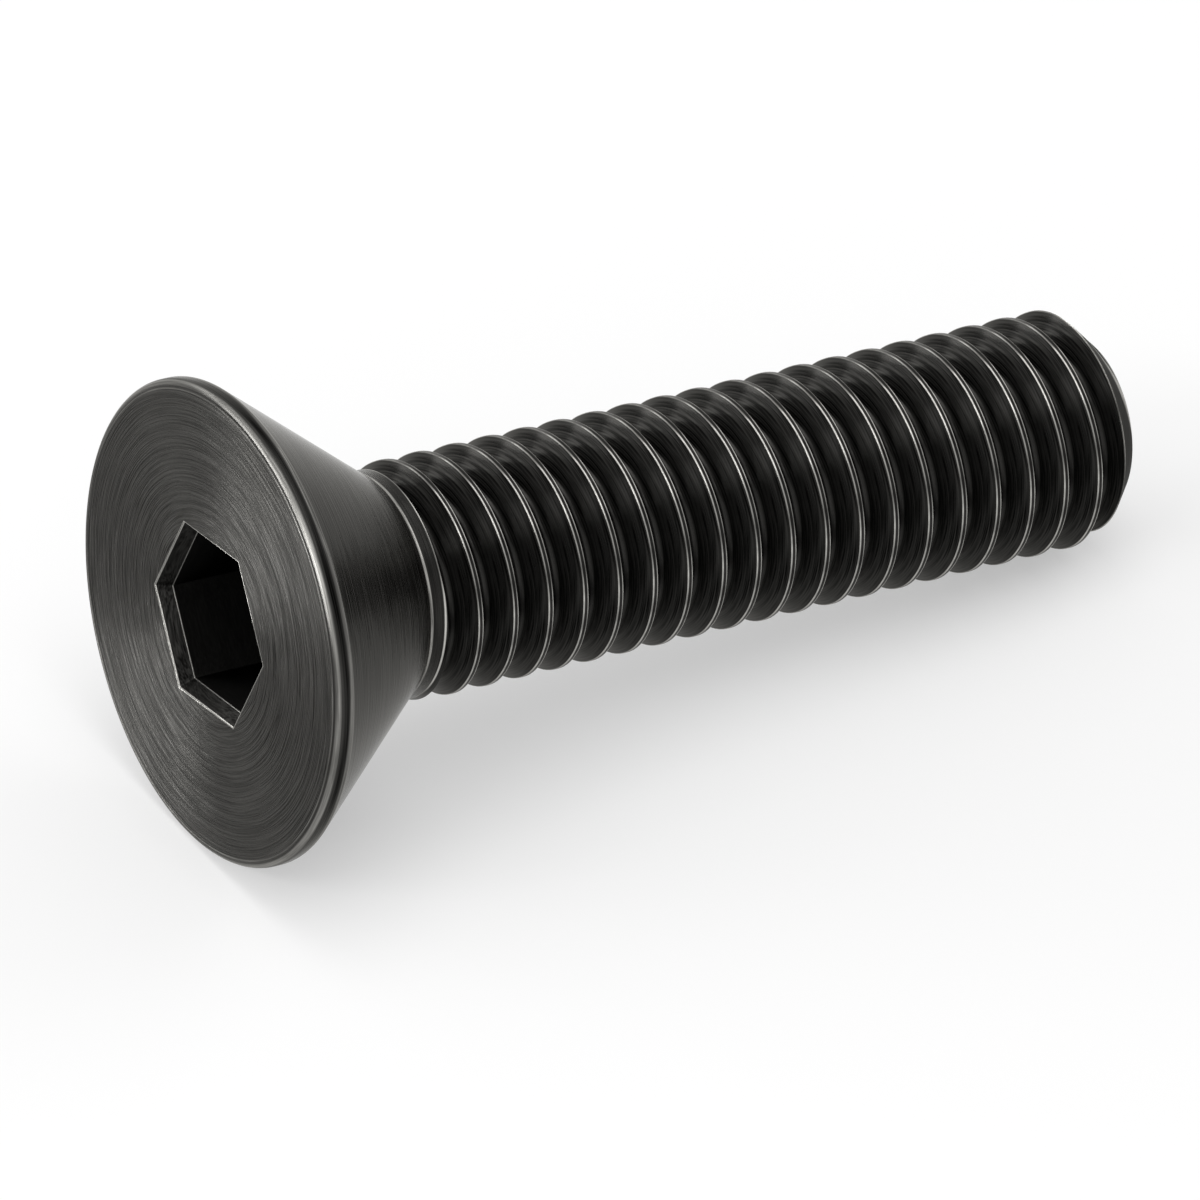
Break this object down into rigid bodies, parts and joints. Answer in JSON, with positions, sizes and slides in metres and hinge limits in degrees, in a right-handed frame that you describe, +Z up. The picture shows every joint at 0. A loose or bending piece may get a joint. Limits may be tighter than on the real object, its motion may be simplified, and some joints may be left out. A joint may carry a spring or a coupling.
{
  "type": "countersunk socket screw",
  "caption": "Flat-topped countersunk screw with a hexagon socket, a tapering head, a short plain neck and a coarse thread up to a chamfered tip, in black steel.",
  "frame": {"origin": "on the table, under the centre of the screw's box as it lies on its rim and the end of its thread", "axes": "+X along the screw from head to tip as seen from above, +Y across it, +Z up; the screw's own axis slopes down towards the tip by the angle at which it rests"},
  "size_m": [0.0262, 0.0122, 0.0121],
  "materials": {
    "black_steel": "black oxide, fine turned lines"
  },
  "bodies": {
    "root": {"screw": "black_steel"}
  },
  "joints": []
}
